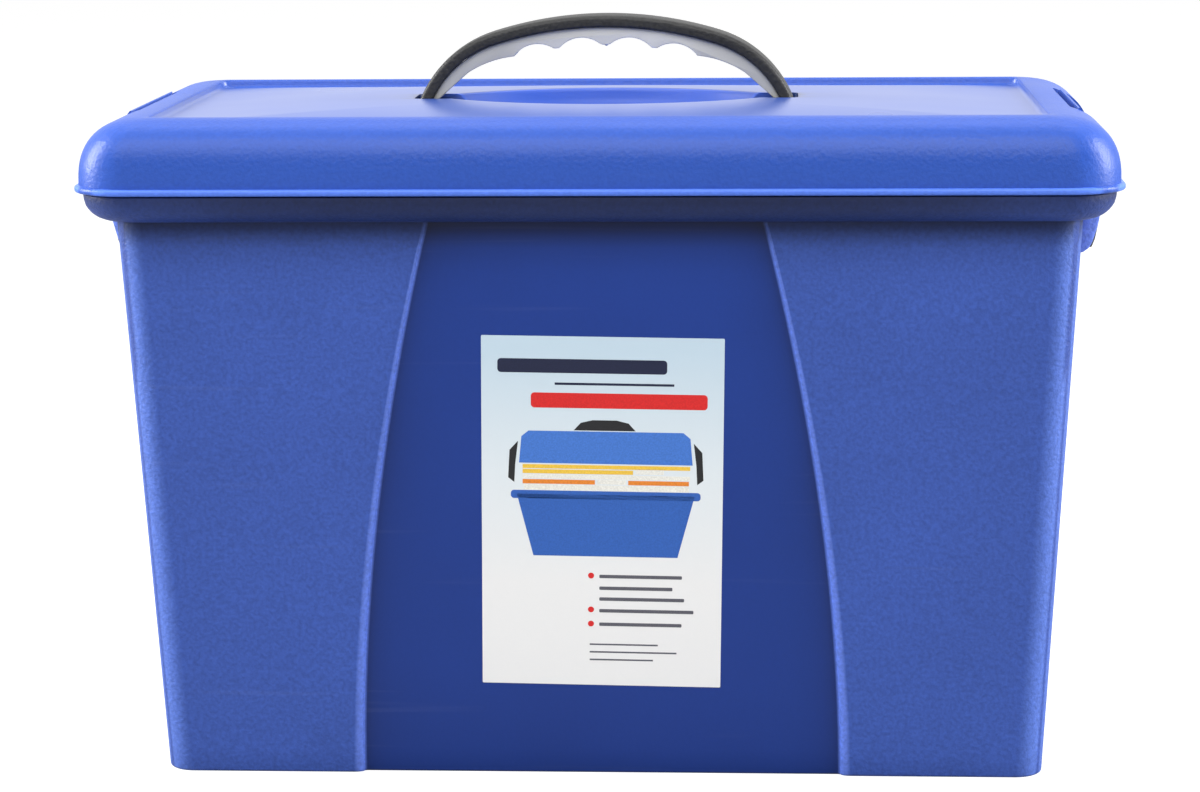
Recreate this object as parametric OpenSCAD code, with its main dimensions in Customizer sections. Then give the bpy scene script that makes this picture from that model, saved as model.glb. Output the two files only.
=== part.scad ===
// Portable file box: a moulded tub for hanging files, a lift-off lid that two end latches hold,
// and a sliding carry handle in the lid. Millimetres, +Z up, origin at the bottom centre.

/* [Tub] */
// Width of the tub just under its rim
tub_w = 402; // [380:1:430]
// Depth of the tub just under its rim
tub_d = 199.2; // [180:1:230]
// Height of the rim's top edge
tub_h = 252.6; // [248:0.2:255]
// How far each wall leans in from the rim to the floor
lean = 12.4; // [6:0.2:16]
// Radius of the tub's upright corners
tub_r = 12; // [8:1:20]
// Thickness of the moulded walls
wall = 2.5; // [2:0.1:3]

/* [Rim] */
// How far the hollow rim stands out from the wall
rim_out = 14; // [13:0.5:16]
// Height of the hollow rim
rim_tall = 11.6; // [11:0.2:14]

/* [Centre panels] */
// Half width of the sunk centre panel at the rim
bell_top = 70; // [60:1:80]
// Half width of the sunk centre panel at the floor
bell_foot = 102.5; // [95:0.5:115]
// Depth of the sunk panel at the rim
sunk_top = 0.8; // [0.4:0.1:1.2]
// Depth of the sunk panel at the floor
sunk_foot = 2.6; // [1.5:0.1:3]

/* [Lid] */
// Height of the lid's highest edge above the floor
lid_top = 283.5; // [282:0.5:286]
// How far the lid's ends lean in to the top recess
end_in = 29; // [27:0.5:30]
// How far its front and back lean in
front_in = 22; // [20:0.5:23]
// Depth of the top recess at its sides
recess = 3.5; // [2.5:0.1:4]
// How far the middle of the recess swells up
crown = 4.6; // [3:0.1:5]

/* [Finger well] */
// Half length of the well under the handle
well_x = 77; // [74:1:78]
// Half width of the well
well_y = 40; // [32:1:42]
// Depth of the well below the lid's edge
well_deep = 12.5; // [9:0.5:13]

/* [Handle] */
// Height of the arch above the lid's edge
handle_rise = 36.1; // [34:0.1:38]
// Radius of the arch over its middle
arch_r = 168; // [160:1:180]
// Radius of the arch at its shoulders
knee_r = 51; // [49:0.5:52]
// Thickness of the black arch
arch_t = 6.2; // [5:0.1:7]
// Width of the black arch, front to back
arch_w = 22; // [18:1:23]
// Depth of the grey grip and the arch together, over the middle
grip_deep = 13; // [11:0.5:14]
// Width of the grey grip, front to back
grip_w = 18; // [14:1:19]

/* [Latches] */
// Width of each latch
latch_w = 91; // [70:1:100]
// Thickness of each latch
latch_t = 3; // [2.6:0.1:3]
// Radius of the hinge pins
pin_r = 1.5; // [1.2:0.1:1.6]

/* [Label] */
// Width of the paper label
label_w = 101.6; // [90:0.2:110]
// Height of the paper label
label_h = 152.4; // [140:0.2:160]
// Height of the label's middle above the floor
label_z = 115.9; // [105:0.5:125]
// Distance of the label's middle from the box's middle
label_x = 1.5; // [-5:0.5:5]

/* [Hidden] */

sides = [-1, 1];                    // front and back, or left and right
round_fn = 32;                      // facets round a soft corner
over = 1;                           // how far a cut runs past the faces it opens
plate_t = 0.02;                     // thickness of the plates that a hull joins
skin = 0.5;                         // overlap of two joined shapes

rim_z = tub_h - rim_tall;           // underside of the rim
rim_w = tub_w + 2 * rim_out - 1.4;  // width over the rim
rim_d = tub_d + 2 * rim_out;        // depth over the rim
rim_r = tub_r + 12;                 // corner radius of the rim
floor_t = wall + 0.5;               // thickness of the floor
ledge_z = rim_z + wall + 0.5;       // height of the ledge that file hooks rest on
rim_round = [[0, 10.5], [0.8, 7.4], [2.2, 4.6], [4, 2.6], [6.5, 0.9], [9, 0.2], [rim_tall, 0]];

bell_power = 1.87;                  // how fast the centre panel widens downwards
bell_steps = 24;                    // points along each side of the centre panel

gap = 0.4;                          // lid to rim, when the lid is down
lid_z = tub_h + gap;                // underside of the lid
skirt_w = rim_w + 3.2;              // width of the lid's skirt
skirt_d = rim_d - 0.6;              // depth of the lid's skirt
skirt_r = 23;                       // corner radius of the skirt
bead_out = 1.8;                     // how far the bead stands out from the skirt
bead_tall = 2.6;
dome_z = lid_z + 3.4;               // where the skirt starts to round over
dome_steps = [0, 0.25, 0.42, 0.56, 0.68, 0.78, 0.86, 0.92, 0.965, 0.99, 1];
dome_power = 2.5;                   // shape of the rounding: 2 is an ellipse
top_w = skirt_w - 2 * end_in;
top_d = skirt_d - 2 * front_in;
top_r = 5.5;                        // corner radius of the top recess
groove_w = 5.5;                     // flat margin round the swollen panel
floor_z = lid_top - recess;         // recess floor at its sides
lip_t = 2;                          // thickness of the locating lip inside the rim
lip_tall = 4.4;                     // how far the lip reaches below the lid's underside
lip_gap = 0.4;                      // lip to rim, all round

arch_z = lid_top + handle_rise - arch_r;          // middle of the arch's large radius
arch_half = 17.3;                                 // half angle of the large radius
knee_x = (arch_r - knee_r) * sin(arch_half);      // middle of the radius at the arch's shoulders
knee_z = arch_z + (arch_r - knee_r) * cos(arch_half);
grip_knee = [knee_x + 0.8, knee_z - 6.8, knee_r - 5.6];   // inner curve at the legs: x, z, radius
grip_gap = 0.06;                    // grip to arch, so that the two never overlap
leg_z = lid_top - 7;                // bottom of the legs, with the handle up
finger_a = [4.05, 11.7];            // angles of the finger scallops from the middle
finger_r = 13;                      // radius of a scallop
finger_at = arch_r - 22.5;          // distance of the scallops' middles from the arch's middle
slot_in = 56;                       // handle slots, from the middle to each end
slot_out = 84;
slot_half = arch_w / 2 + 1.2;
slot_r = 3;
foot = [18, 30, 3];                 // stop foot at the bottom of each leg
foot_x = 70;

end_x = skirt_w / 2;                // outside of the skirt at the ends
hinge_x = end_x - 12.4;             // hinge axis of the right latch
hinge_z = lid_top - 15.9;
barrel_r = 3.4;                     // latch barrel round the pin
pin_gap = 0.05;                     // running clearance of the barrel on the pin
pin_seat = 0.02;                    // clearance of the pin in the lid
pocket_r = 8.4;                     // room that the latch turns in
pocket_half = latch_w / 2 + 1;      // half width of the latch channel
cheek_t = 3;                        // side walls of the channel
channel_x = tub_w / 2 + 5;          // face of the channel in the rim
lid_channel_x = channel_x + 2;      // face of the channel in the lid
hood_a = 68;                        // where the hood over the latch ends, as seen from the hinge
hood_in = end_x - 13.7;             // inner face of the hood
slit_w = 3.7;                       // slit between the hood and the lid
slit_deep = 5.8;                    // bottom of the slit, below the lid's edge
hook_gap = 0.3;                     // hook to rim, with the latch let go

label_t = 0.25;
label_turn = -0.9;

// Half size of the tub at height z, given its half size under the rim
function lean_in(half, z) = half - lean * (1 - z / rim_z);

// Half width of the sunk centre panel at height z
function bell_half(z) = bell_foot - (bell_foot - bell_top) * pow(z / rim_z, bell_power);

// Slope of the sunk panel's face, as depth over height
function sunk_slope() = (lean + sunk_foot - sunk_top) / rim_z;

// Distance of the sunk panel's face from the middle, at the floor
function sunk_y() = tub_d / 2 - lean - sunk_foot;

module rounded(w, d, r) {
    square([w - 2 * r, d], center = true);
    square([w, d - 2 * r], center = true);
    for (x = sides, y = sides)
        translate([x * (w / 2 - r), y * (d / 2 - r)])
            circle(r, $fn = round_fn);
}

// A thin rounded plate [width, depth, corner radius, height], for hulls
module plate(p) {
    translate([0, 0, p[3]])
        linear_extrude(plate_t)
            rounded(p[0], p[1], p[2]);
}

// Solid through a stack of rounded plates
module loft(plates) {
    for (i = [1 : len(plates) - 1])
        hull() {
            plate(plates[i - 1]);
            plate(plates[i]);
        }
}

// A pointed oval, half_l long and half_w wide each way from its middle
module oval(half_l, half_w) {
    r = (half_l * half_l + half_w * half_w) / (2 * half_w);
    intersection() {
        translate([0, half_w - r])
            circle(r, $fn = 96);
        translate([0, r - half_w])
            circle(r, $fn = 96);
    }
}

module oval_plate(half_l, half_w, z) {
    translate([0, 0, z])
        linear_extrude(plate_t)
            oval(half_l, half_w);
}

// A section seen from the front, swept to half_y each way
module swept(half_y) {
    translate([0, half_y, 0])
        rotate([90, 0, 0])
            linear_extrude(2 * half_y)
                children();
}

// ---- Tub ----

// Tapered block with rounded upright corners, inset from the tub's outside
module tub_block(inset, z0, z1, edge) {
    loft([for (s = [[z0, inset + edge], [z0 + edge, inset], [z1, inset]])
              [2 * (lean_in(tub_w / 2, s[0]) - s[1]), 2 * (lean_in(tub_d / 2, s[0]) - s[1]),
               tub_r - inset, s[0]]]);
}

// Outline of the sunk centre panel, widened by extra
module bell(extra) {
    steps = [for (i = [0 : bell_steps]) rim_z * i / bell_steps];
    polygon(concat([for (z = steps) [bell_half(z) + extra, z]],
                   [for (i = [bell_steps : -1 : 0]) [-bell_half(steps[i]) - extra, steps[i]]]));
}

// Block standing in front of the sunk panel's face, moved in by back
module sunk_block(extra, back, deep) {
    translate([0, back - sunk_y(), 0])
        rotate([90 + atan(sunk_slope()), 0, 0])
            linear_extrude(deep)
                bell(extra);
}

module rim_block() {
    loft([for (s = rim_round)
              [rim_w - 2 * s[1], rim_d - 2 * s[1], rim_r - s[1], rim_z + s[0]]]);
}

// Hollow of the rim above the file ledge
module rim_hollow() {
    loft([for (s = [[0, 6], [2, 2], [4.5, 0], [rim_tall, 0]])
              [rim_w - 2 * (wall + s[1]), rim_d - 2 * (wall + s[1]), rim_r - wall - s[1], ledge_z + s[0]]]);
}

// Latch guard seen from the front: a rib from the wall out to the latch's edge
module cheek() {
    x = tub_w / 2;
    polygon([[x - 3, rim_z - 24], [x + 4.5, rim_z - 22], [x + 7, rim_z - 19.8], [x + 8.8, rim_z - 17],
             [x + 11, rim_z - 8], [x + 11.6, rim_z - 1], [x + 11.6, rim_z + 4], [x - 3, rim_z + 4]]);
}

module tub() {
    color("royalblue")
    difference() {
        union() {
            tub_block(0, 0, rim_z + 2, 1.2);
            rim_block();
            for (s = sides, y = sides)
                translate([0, y * (pocket_half + cheek_t / 2), 0])
                    mirror([s < 0 ? 1 : 0, 0, 0])
                        swept(cheek_t / 2)
                            cheek();
        }
        // Inside of the tub, thickened behind the sunk panels
        difference() {
            tub_block(wall, floor_t, ledge_z + over, 1.2);
            for (s = sides)
                mirror([0, s > 0 ? 1 : 0, 0])
                    sunk_block(wall, wall, 20);
        }
        // Hollow of the rim, closed off behind the latch channels
        difference() {
            rim_hollow();
            for (s = sides)
                translate([s * (channel_x - wall + 20), 0, tub_h])
                    cube([40, 2 * (pocket_half + cheek_t), 40], center = true);
        }
        for (s = sides) {
            mirror([0, s > 0 ? 1 : 0, 0])
                sunk_block(0, 0, 20);
            translate([s * (channel_x + 20), 0, tub_h])
                cube([40, 2 * pocket_half, 40], center = true);
        }
    }
}

// ---- Lid ----

// Domed block; inset moves every face inwards, z0 is its underside
module lid_block(inset, z0) {
    tall = lid_top - inset - dome_z;
    dome = [for (t = dome_steps)
                let (k = 1 - pow(1 - pow(t, dome_power), 1 / dome_power))
                    [skirt_w - 2 * (inset + end_in * k), skirt_d - 2 * (inset + front_in * k),
                     skirt_r - inset + (top_r - skirt_r) * k, dome_z + tall * t - plate_t]];
    loft(concat([[skirt_w - 2 * inset, skirt_d - 2 * inset, skirt_r - inset, z0]], dome));
}

// Swollen panel in the recess, as one block from height z0
module crown_block(z0, shift) {
    half_x = top_w / 2 - groove_w;
    half_y = top_d / 2 - groove_w;
    swell = [for (t = [0, 0.12, 0.3, 0.55, 0.8, 0.97])
                 let (k = sqrt(1 - t), r = top_r + (half_y * k - top_r) * min(1, 1.6 * t))
                     [2 * half_x * k, 2 * half_y * k, min(r, half_y * k - 0.1),
                      floor_z + shift + crown * t]];
    loft(concat([[2 * half_x, 2 * half_y, top_r, z0]], swell));
}

// Well for the fingers; thick is 0 for its hollow and the wall for its shell
module well_block(thick) {
    deep_z = lid_top - well_deep - thick;
    hull() {
        oval_plate(well_x + thick, well_y + thick, thick > 0 ? floor_z + 0.56 * crown : lid_top);
        if (thick == 0)
            oval_plate(well_x, well_y, lid_top + 2 * crown);
        oval_plate(0.9 * well_x + thick, 0.9 * well_y + thick, deep_z + 5);
        oval_plate(0.75 * well_x + thick, 0.7 * well_y + thick, deep_z);
    }
}

module slice(from, to, r) {
    far = 3 * r;
    polygon([[0, 0], [far * cos(from), far * sin(from)], [far * cos(to), far * sin(to)]]);
}

// Outside of the hood over the hinge, from its inner top edge outwards
hood_line = [[hood_in, lid_top - 1.3], [hood_in + 1.1, lid_top - 2.3], [hood_in + 2.6, lid_top - 4.5],
             [hood_in + 4.2, lid_top - 7]];

// Hinge housing seen from the front: it closes the lid behind the latch and carries the pin
module housing() {
    intersection() {
        union() {
            translate([hinge_x, hinge_z])
                circle(pocket_r + wall, $fn = 64);
            translate([lid_channel_x - wall, lid_z])
                square([30, hinge_z - lid_z]);
        }
        // Kept inside the lid's skirt
        translate([hinge_x - 2 * pocket_r, lid_z + skin])
            square([end_x - skin - hinge_x + 2 * pocket_r, lid_top - lid_z]);
        polygon(concat([[hood_in - 20, lid_z], [hood_in - 20, lid_top - wall], [hood_in, lid_top - wall]],
                       [for (p = hood_line) p - [0, skin]],
                       [[end_x - skin, hinge_z], [end_x - skin, lid_z]]));
    }
    polygon(concat([[hood_in, hinge_z + pocket_r]], hood_line, [[hood_in + 2, hinge_z + pocket_r - 1]]));
}

// Everything cut away over the slit and the hood, and the room for the latch
module pocket() {
    translate([hinge_x, hinge_z]) {
        circle(pocket_r, $fn = 64);
        slice(-60, hood_a, 20);
    }
    translate([lid_channel_x, lid_z - 20])
        square([30, hinge_z - lid_z + 20]);
    polygon(concat([[hood_in - slit_w, lid_top + 9], [hood_in - slit_w, lid_top - slit_deep],
                    [hood_in, lid_top - slit_deep]],
                   hood_line, [[end_x + 20, lid_top - 7], [end_x + 20, lid_top + 9]]));
}

// Skirt, shoulder, recess and swollen panel, hollow below
module lid_shell() {
    difference() {
        union() {
            difference() {
                lid_block(0, lid_z + skin);
                translate([0, 0, floor_z])
                    linear_extrude(20)
                        rounded(top_w, top_d, top_r);
            }
            crown_block(floor_z - wall / 2, 0);
        }
        intersection() {
            lid_block(wall, lid_z - over);
            cube([skirt_w, skirt_d, 2 * (floor_z - wall)], center = true);
        }
        crown_block(floor_z - 3 * wall, -wall);
    }
}

// Bead round the lid's edge, with the ring that drops inside the rim.
// The ring is left out behind the latch channels.
module lid_edge() {
    hollow = wall + lip_gap + lip_t;
    difference() {
        union() {
            translate([0, 0, lid_z])
                linear_extrude(bead_tall)
                    rounded(skirt_w + 2 * bead_out, skirt_d + 2 * bead_out, skirt_r + bead_out);
            difference() {
                translate([0, 0, lid_z - lip_tall])
                    linear_extrude(lip_tall + skin)
                        rounded(rim_w - 2 * (wall + lip_gap), rim_d - 2 * (wall + lip_gap), rim_r - wall);
                cube([rim_w, 2 * (pocket_half + cheek_t + lip_gap), 2 * lid_z], center = true);
            }
        }
        translate([0, 0, lid_z - 2 * lip_tall])
            linear_extrude(4 * lip_tall)
                rounded(rim_w - 2 * hollow, rim_d - 2 * hollow, rim_r - hollow);
    }
}

module lid() {
    color("royalblue")
    difference() {
        union() {
            lid_shell();
            well_block(wall);
            lid_edge();
            for (s = sides)
                mirror([s < 0 ? 1 : 0, 0, 0])
                    swept(pocket_half + cheek_t)
                        housing();
        }
        well_block(0);
        for (s = sides)
            mirror([s < 0 ? 1 : 0, 0, 0]) {
                swept(pocket_half)
                    pocket();
                rod(pin_r + pin_seat, pocket_half + cheek_t + over);
                translate([(slot_in + slot_out) / 2, 0, floor_z - 20])
                    linear_extrude(40)
                        rounded(slot_out - slot_in, 2 * slot_half, slot_r);
            }
    }
}

// ---- Handle ----

// Points along an arc, without its first one
function arc_on(x, z, r, from, to, steps) =
    [for (i = [1 : steps]) let (a = from + (to - from) * i / steps) [x + r * cos(a), z + r * sin(a)]];

// Curve that runs depth below the arch's outside, from the right leg at height z to the left one
function arch_curve(depth, z) =
    let (r = knee_r - depth, foot_a = asin((z - knee_z) / r), join_a = 90 - arch_half)
        concat([[knee_x + r * cos(foot_a), z]],
               arc_on(knee_x, knee_z, r, foot_a, join_a, 12),
               arc_on(0, arch_z, arch_r - depth, join_a, 180 - join_a, 16),
               arc_on(-knee_x, knee_z, r, 180 - join_a, 180 - foot_a, 12));

function backwards(points) = [for (i = [len(points) - 1 : -1 : 0]) points[i]];

module handle_arch() {
    color([0.12, 0.12, 0.12]) {
        swept(arch_w / 2)
            polygon(concat(arch_curve(0, leg_z), backwards(arch_curve(arch_t, leg_z))));
        for (s = sides)
            mirror([s < 0 ? 1 : 0, 0, 0])
                translate([foot_x, -foot[1] / 2, leg_z])
                    cube(foot);
    }
}

module handle_grip() {
    under = arch_r - grip_deep;
    color("silver")
    swept(grip_w / 2)
        difference() {
            polygon(arch_curve(arch_t + grip_gap, leg_z + foot[2] + grip_gap));
            // Hand room under the grip
            polygon(concat([[0, arch_z + under / 2]],
                           arc_on(0, arch_z, under, 90 - arch_half - 1, 90 + arch_half + 1, 16)));
            for (s = sides)
                translate([s * grip_knee[0], grip_knee[1]])
                    circle(grip_knee[2], $fn = 96);
            translate([-grip_knee[0], leg_z - over])
                square([2 * grip_knee[0], grip_knee[1] + grip_knee[2] - leg_z - 3]);
            for (a = finger_a, s = sides)
                translate([s * finger_at * sin(a), arch_z + finger_at * cos(a)])
                    circle(finger_r, $fn = 64);
        }
}

// ---- Latches ----

// Latch plate seen from the front, at the right end, just let go of the rim
module latch_section() {
    // Outer face as [distance in from the skirt, depth below the lid's edge]
    face = [[7.7, 9.2], [6.4, 10.5], [4.9, 12.7], [2.9, 17.5], [1.7, 23.5], [1.2, 28.5], [1.2, 31.5],
            [3.5, 45.5], [5.8, 57.5], [7.2, 61.1]];
    in_x = end_x - 1.2 - latch_t;
    tip_x = channel_x + hook_gap;
    polygon(concat(
        [for (p = face) [end_x - p[0], lid_top - p[1]]],
        [[in_x - 4.9, rim_z - 18.6], [in_x - 4, rim_z - 13], [in_x - 2.2, rim_z - 3.8],
         [tip_x + 1.2, rim_z - 2.6], [tip_x, rim_z - 1.6], [tip_x, rim_z - 0.4],
         [in_x - 1.9, rim_z - 0.4], [in_x, rim_z + 11], [in_x, lid_top - 28],
         [in_x - 0.5, lid_top - 23], [in_x - 1.8, lid_top - 18.2],
         [hinge_x + 2, hinge_z - 2], [hinge_x + 1, hinge_z + 2]]));
}

// Rod on the hinge axis at the right end
module rod(r, half) {
    translate([hinge_x, half, hinge_z])
        rotate([90, 0, 0])
            cylinder(h = 2 * half, r = r, $fn = 48);
}

module latch() {
    color([0.12, 0.12, 0.12])
    difference() {
        union() {
            swept(latch_w / 2)
                latch_section();
            rod(barrel_r, latch_w / 2);
        }
        rod(pin_r + pin_gap, latch_w / 2 + over);
    }
}

module latch_right() {
    latch();
}

module latch_left() {
    mirror([1, 0, 0])
        latch();
}

module hinge_pin_right() {
    color("gray")
    rod(pin_r, pocket_half + cheek_t);
}

module hinge_pin_left() {
    mirror([1, 0, 0])
        hinge_pin_right();
}

// ---- Label ----

module label() {
    color("azure")
    translate([label_x, -sunk_y() - sunk_slope() * label_z - 0.01, label_z])
        rotate([90 + atan(sunk_slope()), 0, 0])
            rotate([0, 0, label_turn])
                linear_extrude(label_t)
                    square([label_w, label_h], center = true);
}

tub();
lid();
handle_arch();
handle_grip();
latch_left();
latch_right();
hinge_pin_left();
hinge_pin_right();
label();
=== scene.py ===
import math

import bmesh
import bpy
from mathutils import Matrix, Vector


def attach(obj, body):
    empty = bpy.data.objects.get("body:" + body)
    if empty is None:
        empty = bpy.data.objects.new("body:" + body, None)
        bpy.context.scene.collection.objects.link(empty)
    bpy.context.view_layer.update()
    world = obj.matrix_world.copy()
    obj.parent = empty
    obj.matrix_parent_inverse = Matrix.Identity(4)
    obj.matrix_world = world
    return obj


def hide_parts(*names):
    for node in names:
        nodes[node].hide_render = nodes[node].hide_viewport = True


# Portable file box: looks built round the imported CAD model. Sizes in the dictionaries are millimetres.
mm = 0.001
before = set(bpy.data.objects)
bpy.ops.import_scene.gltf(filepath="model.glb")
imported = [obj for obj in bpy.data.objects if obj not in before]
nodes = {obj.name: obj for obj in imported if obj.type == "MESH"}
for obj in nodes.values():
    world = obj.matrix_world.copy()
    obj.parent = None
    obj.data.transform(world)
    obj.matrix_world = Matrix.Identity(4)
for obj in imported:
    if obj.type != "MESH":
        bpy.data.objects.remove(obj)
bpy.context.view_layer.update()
print("frame loaded")


def mix(a, b, t):
    return a + (b - a) * t


def smooth(t):
    t = min(1, max(0, t))
    return t * t * (3 - 2 * t)


def fade(value, start, stop, before, after):  # smoothly from before to after between start and stop
    return mix(before, after, smooth((value - start) / (stop - start)))


def arcPoints(cx, cz, r, start, stop, steps, first=True):  # points on a circle, angles in degrees
    points = []
    for i in range(0 if first else 1, steps + 1):
        a = math.radians(mix(start, stop, i / steps))
        points.append((cx + r * math.cos(a), cz + r * math.sin(a)))
    return points


def meshFrom(name, bm):
    mesh = bpy.data.meshes.new(name)
    bm.to_mesh(mesh)
    bm.free()
    return mesh


def putIn(name, data):
    thing = bpy.data.objects.new(name, data)
    bpy.context.scene.collection.objects.link(thing)
    return thing


def emptyTree(owner):
    owner.use_nodes = True
    owner.node_tree.nodes.clear()
    return owner.node_tree


def newPiece(name, bm, material, body, replaced=(), sharp=32):
    mesh = meshFrom(name, bm)
    piece = putIn(name, mesh)
    mesh.materials.append(material)
    mesh.shade_smooth()
    mesh.set_sharp_from_angle(angle=math.radians(sharp))
    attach(piece, body)
    if replaced:
        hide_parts(*replaced)
    print("made", name, len(mesh.polygons), "faces")
    return piece


def closeUp(bm, dist=2e-6):
    bmesh.ops.remove_doubles(bm, verts=bm.verts, dist=dist)
    bmesh.ops.recalc_face_normals(bm, faces=bm.faces)


def ringStack(columns, levels, place):
    # one ring of vertices, extruded level by level; place puts each column on each level
    bm = bmesh.new()
    mark = bm.verts.layers.int.new("column")
    ring = bmesh.ops.create_circle(bm, segments=len(columns), radius=1)["verts"]
    for i, vert in enumerate(ring):
        vert[mark] = i
    edges = list(bm.edges)
    caps = []
    for number, level in enumerate(levels):
        if number:
            made = bmesh.ops.extrude_edge_only(bm, edges=edges)["geom"]
            ring = [g for g in made if isinstance(g, bmesh.types.BMVert)]
            fresh = set(ring)
            edges = [g for g in made if isinstance(g, bmesh.types.BMEdge) and fresh.issuperset(g.verts)]
        for vert in ring:
            vert.co = Vector(place(columns[vert[mark]], level)) * mm
        if number in (0, len(levels) - 1):
            caps.append(list(edges))
    for loop in caps:
        bmesh.ops.contextual_create(bm, geom=loop)
    closeUp(bm)
    return bm


def sharpEdges(bm, limit):
    return [e for e in bm.edges if len(e.link_faces) == 2 and e.calc_face_angle(0) > math.radians(limit)]


def roundEdges(bm, edges, offset, segments, clamp=True):
    bmesh.ops.bevel(bm, geom=edges, offset=offset * mm, segments=segments, profile=0.5, affect="EDGES",
                    material=-1, clamp_overlap=clamp)


def drawOut(bm, faces, keep=False):  # the vertices of the faces drawn out
    made = bmesh.ops.extrude_face_region(bm, geom=faces, use_keep_orig=keep)["geom"]
    return [g for g in made if isinstance(g, bmesh.types.BMVert)]


def sweepPolygon(bm, points, y0, y1, bevel=0, limit=25, mirrored=False):
    # outline in the x, z plane, drawn out from y0 to y1, its sharp edges rounded
    part = bmesh.new()
    turn = -1 if mirrored else 1
    face = part.faces.new([part.verts.new((turn * x * mm, y0 * mm, z * mm)) for x, z in points])
    bmesh.ops.translate(part, verts=drawOut(part, [face]), vec=(0, (y1 - y0) * mm, 0))
    closeUp(part)
    if bevel:
        roundEdges(part, sharpEdges(part, limit), bevel, 2)
    addTo(bm, part)


def sweepCheeks(bm, outline, middle, thick, bevel=0):  # two at either end
    for side in (False, True):
        for y in (-1, 1):
            low = middle * y - thick / 2
            sweepPolygon(bm, outline, low, low + thick, bevel=bevel, mirrored=side)


def addTo(bm, part):  # the part's mesh joins bm, and the part is used up
    mesh = meshFrom("scrap", part)
    bm.from_mesh(mesh)
    bpy.data.meshes.remove(mesh)


def roundedBox(bm, low, high, bevel, segments=2, upright=False):
    part = bmesh.new()
    bmesh.ops.create_cube(part, size=1)
    size = [h - l for l, h in zip(low, high)]
    centre = [(h + l) / 2 for l, h in zip(low, high)]
    bmesh.ops.scale(part, verts=part.verts, vec=[s * mm for s in size])
    bmesh.ops.translate(part, verts=part.verts, vec=[c * mm for c in centre])
    edges = [e for e in part.edges if not upright or abs(e.verts[0].co.z - e.verts[1].co.z) > 1e-5]
    roundEdges(part, edges, bevel, segments, clamp=False)
    bmesh.ops.recalc_face_normals(part, faces=part.faces)
    addTo(bm, part)


def endBoxes(bm, xs, half, zs, bevel, **more):  # the same box at either end
    for sx in (1, -1):
        low, high = sorted(sx * x for x in xs)
        roundedBox(bm, (low, -half, zs[0]), (high, half, zs[1]), bevel, **more)


def paintTones(bm, toneAt):  # toneAt gives a colour and how strong the grain is, by the place in mm
    layer = bm.verts.layers.float_color.new("tone")
    for vert in bm.verts:
        colour, grain = toneAt(abs(vert.co.x) / mm, abs(vert.co.y) / mm, vert.co.z / mm)
        vert[layer] = (*colour, grain)


def cutAway(bm, cutter):
    # boolean difference of one closed bmesh from another, both used up
    solid, tool = (putIn("cutting", meshFrom("cutting", source)) for source in (bm, cutter))
    cut = solid.modifiers.new("cut", "BOOLEAN")
    cut.operation = "DIFFERENCE"
    cut.solver = "EXACT"
    cut.object = tool
    result = solid.evaluated_get(bpy.context.evaluated_depsgraph_get()).to_mesh()
    made = bmesh.new()
    made.from_mesh(result)
    for thing in (solid, tool):
        mesh = thing.data
        bpy.data.objects.remove(thing)
        bpy.data.meshes.remove(mesh)
    return made


def plug(tree, value, socket):  # a number or colour straight on the socket, an output by a link
    if isinstance(value, bpy.types.NodeSocket):
        tree.links.new(value, socket)
    else:
        socket.default_value = value


def feed(tree, node, **values):  # by the names of the sockets, with _ for a space
    for key, value in values.items():
        plug(tree, value, node.inputs[key.replace("_", " ")])
    return node


def newNode(tree, kind, **values):
    return feed(tree, tree.nodes.new("ShaderNode" + kind), **values)


def newGroup(name, numbers, results):
    tree = bpy.data.node_groups.new(name, "ShaderNodeTree")
    tree.interface.new_socket(name="Vector", in_out="INPUT", socket_type="NodeSocketVector")
    for label, value in numbers.items():
        socket = tree.interface.new_socket(name=label, in_out="INPUT", socket_type="NodeSocketFloat")
        socket.default_value = value
    for label in results:
        tree.interface.new_socket(name=label, in_out="OUTPUT", socket_type="NodeSocketFloat")
    return tree, tree.nodes.new("NodeGroupInput").outputs, tree.nodes.new("NodeGroupOutput")


def mathNode(tree, operation, *values, clamp=False):
    node = newNode(tree, "Math")
    node.operation = operation
    node.use_clamp = clamp
    for value, socket in zip(values, node.inputs):
        plug(tree, value, socket)
    return node.outputs[0]


def rangeNode(tree, value, low, high, toLow, toHigh):
    return newNode(tree, "MapRange", Value=value, From_Min=low, From_Max=high, To_Min=toLow,
                   To_Max=toHigh).outputs[0]


def noiseNode(tree, vector, scale, detail=2):
    return newNode(tree, "TexNoise", Vector=vector, Scale=scale, Detail=detail).outputs["Fac"]


def mixColour(tree, factor, a, b, blend="MIX"):
    node = newNode(tree, "Mix")
    node.data_type = "RGBA"
    node.blend_type = blend
    for value, number in ((factor, 0), (a, 6), (b, 7)):
        plug(tree, (*value, 1) if isinstance(value, tuple) else value, node.inputs[number])
    return node.outputs[2]


def buildGrainGroup():
    # spark-eroded mould grain: fine pits on a slow waviness, as a height, a mottling mask and a speckle
    tree, given, end = newGroup("mouldGrain", {"Grain Size": 900.0, "Wave Size": 14.0, "Wave Share": 0.3},
                                ("Height", "Mottle", "Speckle"))
    fine = noiseNode(tree, given["Vector"], given["Grain Size"], 3)
    slow = noiseNode(tree, given["Vector"], given["Wave Size"], 2)
    share = mathNode(tree, "MULTIPLY", slow, given["Wave Share"])
    feed(tree, end, Height=mathNode(tree, "ADD", fine, share), Mottle=rangeNode(tree, slow, 0.3, 0.7, 0, 1),
         Speckle=rangeNode(tree, fine, 0.3, 0.7, -1, 1))
    return tree


scuffLooks = {"turns": (0.5, -0.9), "stretch": 26, "cutoff": (0.7, 0.78)}


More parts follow.
